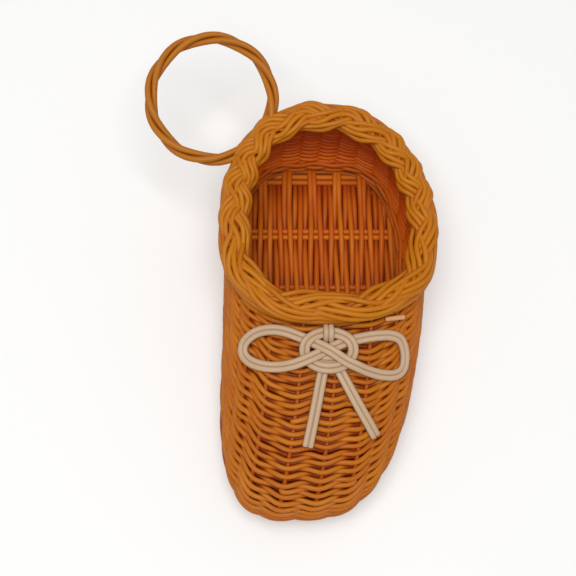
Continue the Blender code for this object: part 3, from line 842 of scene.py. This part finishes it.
CUT_PALE = (0.74, 0.40, 0.19)
CUT_DEEP = (0.62, 0.31, 0.13)
cut_finish = cane_finish(
    "cut_cane", CUT_PALE, CUT_DEEP, BORDER_STAIN_AND_SHADE, hollow=0.0, crest=0.4, stain_and_shade_depth=0.5
)
path, facing = lay_on_vamp(bent_through(CUT_END, CUT_END_STEPS))
cut_cane = Cane(path, facing, CUT_END_CANE, 0.0, False)
cut_end = lay_canes("border_cut_end", [cut_cane], THICK_CANE_SIDES, cut_finish)

# Bow: doubled white cane, peeled and not stained, tied flat on the vamp. Two loops cross in the
# middle, a ring of the same doubled cane with a second turn below the crossing binds them, and a
# short stitch holds the ring to the weave.
WHITE_CANE = 1.88 * MM
WHITE_PITCH = 0.85 * MM
BOW_LIFT = 1.3
KNOT_Y = -13.3
LOOPS = (
    (-9.6, 4.6, 0.0),
    (-13.6, 6.2, 0.0),
    (-18.0, 6.9, 0.0),
    (-22.6, 6.1, 0.0),
    (-25.8, 3.5, 0.0),
    (-26.3, 0.1, 0.0),
    (-24.3, -2.8, 0.0),
    (-20.4, -4.6, 0.0),
    (-15.8, -5.1, 0.2),
    (-11.2, -4.5, 1.5),
    (-6.2, -2.7, 1.7),
    (0.0, 0.2, 0.4),
    (5.4, 2.6, 0.2),
    (9.6, 3.7, 0.0),
    (14.0, 4.6, 0.0),
    (19.4, 5.1, 0.0),
    (22.8, 4.2, 0.0),
    (24.2, 1.4, 0.0),
    (24.4, -2.0, 0.0),
    (23.6, -5.2, 0.0),
    (21.0, -7.2, 0.0),
    (17.0, -7.5, 0.0),
    (12.6, -6.6, 0.4),
    (8.6, -5.1, 1.6),
    (5.0, -3.4, 1.8),
    (0.2, -0.3, 2.1),
    (-4.8, 2.4, 0.6),
)
LOOP_STEPS = 280


def two_side_by_side(line, closed):
    """Two white canes laid side by side on the vamp, along a line about the knot's middle."""
    path, facing = lay_on_vamp(np.asarray(line) + (0, KNOT_Y, BOW_LIFT))
    if closed:
        along = np.roll(path, -1, axis=0) - np.roll(path, 1, axis=0)
    else:
        along = np.gradient(path, axis=0)
    aside = np.cross(along, facing)
    aside /= np.linalg.norm(aside, axis=1, keepdims=True)
    pair = []
    for side in (-1, 1):
        pair.append(Cane(path + aside * side * WHITE_PITCH, facing, WHITE_CANE, 0.0, closed))
    return pair


WHITE_PALE = (0.585, 0.41, 0.265)
WHITE_DEEP = (0.47, 0.315, 0.2)
# The white cane is not stained: the darker colour of its low parts is painted shade.
WHITE_PAINTED_SHADE = (0.27, 0.155, 0.085)
white_finish = cane_finish(
    "white_cane", WHITE_PALE, WHITE_DEEP, WHITE_PAINTED_SHADE, hollow=0.0, crest=0.6, stain_and_shade_depth=0.8
)
loops_line = bent_through(LOOPS + LOOPS[:1], LOOP_STEPS + 1)[:-1]
loop_canes = two_side_by_side(loops_line, True)
bow_loops = lay_canes("bow_loops", loop_canes, THICK_CANE_SIDES, white_finish)
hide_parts("bow_loop_medial", "bow_loop_lateral")

KNOT_HALF_WIDTH = 7.7
KNOT_HALF_HEIGHT = 5.8
KNOT_RISES = (
    (0, 1.2),
    (30, 1.9),
    (60, 0.9),
    (90, 0.0),
    (120, 0.9),
    (150, 1.9),
    (180, 1.2),
    (215, 0.0),
    (245, 1.0),
    (270, 1.7),
    (295, 1.0),
    (325, 0.0),
    (360, 1.2),
)
KNOT_STEPS = 90
KNOT_SMOOTHING = (-2, -1, 0, 1, 2)
STITCH = ((0.0, 8.4, -1.2), (0.0, 7.8, 0.8), (0.0, 6.0, 1.9), (0.0, 4.2, 1.3), (0.0, 3.0, -0.2))
STITCH_STEPS = 24
INNER_TURN = (
    (-5.0, -2.3, -0.5),
    (-2.6, -3.0, 0.1),
    (0.0, -3.3, 0.2),
    (2.6, -3.0, 0.1),
    (5.0, -2.3, -0.5),
)
INNER_TURN_STEPS = 30

knot_turn = np.linspace(0, 360, KNOT_STEPS, endpoint=False)
rise_turns, rises = zip(*KNOT_RISES)
knot_rise = np.interp(knot_turn, rise_turns, rises)
knot_rise = sum(np.roll(knot_rise, shift) for shift in KNOT_SMOOTHING) / len(KNOT_SMOOTHING)
knot_line = np.stack(
    [
        KNOT_HALF_WIDTH * np.cos(np.radians(knot_turn)),
        KNOT_HALF_HEIGHT * np.sin(np.radians(knot_turn)),
        knot_rise,
    ],
    axis=1,
)
knot_canes = two_side_by_side(knot_line, True)
knot_canes += two_side_by_side(bent_through(STITCH, STITCH_STEPS), False)
knot_canes += two_side_by_side(bent_through(INNER_TURN, INNER_TURN_STEPS), False)
bow_knot_ring = lay_canes("bow_knot_ring", knot_canes, THICK_CANE_SIDES, white_finish)
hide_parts("bow_knot")

TAILS = (
    ((2.6, -4.7, -0.2), (4.6, -8.6, 0.0), (9.2, -17.2, 0.0), (14.5, -26.4, 0.0)),
    ((-1.4, -4.7, -0.2), (-2.4, -8.9, 0.0), (-4.7, -20.1, 0.0), (-6.9, -29.9, 0.0)),
)
TAIL_STEPS = 30

tail_canes = []
for tail in TAILS:
    tail_canes += two_side_by_side(bent_through(tail, TAIL_STEPS), False)
bow_tails = lay_canes("bow_tails", tail_canes, THICK_CANE_SIDES, white_finish)
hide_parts("bow_tail_medial", "bow_tail_lateral")

# Hanging ring: three round canes twisted into one hoop, stained like the weave.
# It is threaded through the border at the inner heel.
RING_CANE = 2.1 * MM
RING_CANES = 3
RING_CANE_SIDES = 12
RING_RADIUS = 20.0 * MM
RING_CENTRE = np.array((-37.2, 69.7, 45.0)) * MM
RING_TILT = math.radians(12)
RING_TWISTS = 3
RING_STEPS = 240

ring_across = np.array((1.0, 0.0, 0.0))
ring_rising = np.array((0.0, math.cos(RING_TILT), math.sin(RING_TILT)))
ring_axis = np.cross(ring_across, ring_rising)
turn = np.linspace(0, 2 * math.pi, RING_STEPS, endpoint=False)[:, None]
radial = ring_across * np.cos(turn) + ring_rising * np.sin(turn)
ring_reach = RING_CANE / 2 / math.sin(math.pi / RING_CANES)
ring_canes = []
for number in range(RING_CANES):
    wind = RING_TWISTS * turn + 2 * math.pi * number / RING_CANES
    twist = radial * np.cos(wind) + ring_axis * np.sin(wind)
    path = RING_CENTRE + radial * RING_RADIUS + twist * ring_reach
    ring_canes.append(Cane(path, twist, RING_CANE, ring_reach, True))
RING_PALE = (0.48, 0.162, 0.006)
RING_DEEP = (0.36, 0.105, 0.004)
# Colour of the canes' low parts: staining and painted shade.
RING_STAIN_AND_SHADE = (0.21, 0.042, 0.002)
ring_finish = cane_finish(
    "ring_cane", RING_PALE, RING_DEEP, RING_STAIN_AND_SHADE, hollow=0.3, crest=1.6, stain_and_shade_depth=0.7
)
hanging_hoop = lay_canes("hanging_hoop", ring_canes, RING_CANE_SIDES, ring_finish)
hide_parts("hanging_ring")

# Studio: a plain pale floor that curves up all round, one broad soft light from above and a weaker
# one from the side, and the camera almost straight above, a little towards the toe.
FLOOR_LINE = ((0.0, 0.0), (1.0, 0.0), (2.1, 0.0), (2.5, 0.05), (2.8, 0.18), (3.0, 0.4), (3.1, 0.8))
FLOOR_TURNS = 64
FLOOR_COLOUR = (0.8, 0.8, 0.79)
FLOOR_ROUGHNESS = 0.9
FLOOR_SHINE = 0.1
# The floor glows a little with its own colour: painted light that lightens the shadows cast on it.
FLOOR_GLOW = 0.18
KEY_PLACE = (-0.1, -0.1, 1.0)
KEY_SIZE = 0.6
KEY_POWER = 8.2
FILL_PLACE = (0.6, 0.5, 0.7)
FILL_SIZE = 0.8
FILL_POWER = 0.5
ROOM_COLOUR = (1.0, 1.0, 1.0)
ROOM_LIGHT = 0.3
CAMERA_PLACE = Vector((-0.0375, -0.0868, 0.4131))
CAMERA_AIM = Vector((-0.0115, 0.0113, 0.022))
CAMERA_LENS = 75.0
CAMERA_SENSOR = 36.0
CAMERA_NEAREST = 0.01

floor_points = [(0.0, 0.0, 0.0)]
floor_faces = []
for ring, (reach, height) in enumerate(FLOOR_LINE[1:]):
    for step in range(FLOOR_TURNS):
        angle = 2 * math.pi * step / FLOOR_TURNS
        floor_points.append((reach * math.cos(angle), reach * math.sin(angle), height))
        this = 1 + ring * FLOOR_TURNS + step
        beyond = 1 + ring * FLOOR_TURNS + (step + 1) % FLOOR_TURNS
        if ring == 0:
            floor_faces.append((0, this, beyond))
        else:
            floor_faces.append((this - FLOOR_TURNS, this, beyond, beyond - FLOOR_TURNS))
floor_mesh = bpy.data.meshes.new("floor")
floor_mesh.from_pydata(floor_points, [], floor_faces)
floor_mesh.shade_smooth()
floor = bpy.data.objects.new("floor", floor_mesh)
bpy.context.scene.collection.objects.link(floor)
floor_paper = bpy.data.materials.new("floor_paper")
floor_paper.use_nodes = True
paper = floor_paper.node_tree.nodes["Principled BSDF"]
paper.inputs["Base Color"].default_value = (*FLOOR_COLOUR, 1.0)
paper.inputs["Roughness"].default_value = FLOOR_ROUGHNESS
paper.inputs["Specular IOR Level"].default_value = FLOOR_SHINE
paper.inputs["Emission Color"].default_value = (*FLOOR_COLOUR, 1.0)
paper.inputs["Emission Strength"].default_value = FLOOR_GLOW
floor_mesh.materials.append(floor_paper)


def soft_light(name, place, size, power):
    """A square lamp that faces the middle of the floor."""
    lamp = bpy.data.lights.new(name, "AREA")
    lamp.shape = "SQUARE"
    lamp.size = size
    lamp.energy = power
    holder = bpy.data.objects.new(name, lamp)
    holder.location = place
    holder.rotation_euler = (-Vector(place)).to_track_quat("-Z", "Y").to_euler()
    bpy.context.scene.collection.objects.link(holder)


soft_light("key_light", KEY_PLACE, KEY_SIZE, KEY_POWER)
soft_light("fill_light", FILL_PLACE, FILL_SIZE, FILL_POWER)
studio = bpy.data.worlds.new("studio")
studio.use_nodes = True
room = studio.node_tree.nodes["Background"]
room.inputs["Color"].default_value = (*ROOM_COLOUR, 1.0)
room.inputs["Strength"].default_value = ROOM_LIGHT
bpy.context.scene.world = studio
bpy.context.scene.view_settings.view_transform = "Standard"

lens = bpy.data.cameras.new("camera")
lens.lens = CAMERA_LENS
lens.sensor_width = CAMERA_SENSOR
lens.clip_start = CAMERA_NEAREST
camera = bpy.data.objects.new("camera", lens)
look = (CAMERA_AIM - CAMERA_PLACE).normalized()
right = (Vector((1, 0, 0)) - look * look.x).normalized()
over = right.cross(look)
turned = Matrix((right, over, -look)).transposed().to_4x4()
camera.matrix_world = Matrix.Translation(CAMERA_PLACE) @ turned
bpy.context.scene.collection.objects.link(camera)
bpy.context.scene.camera = camera
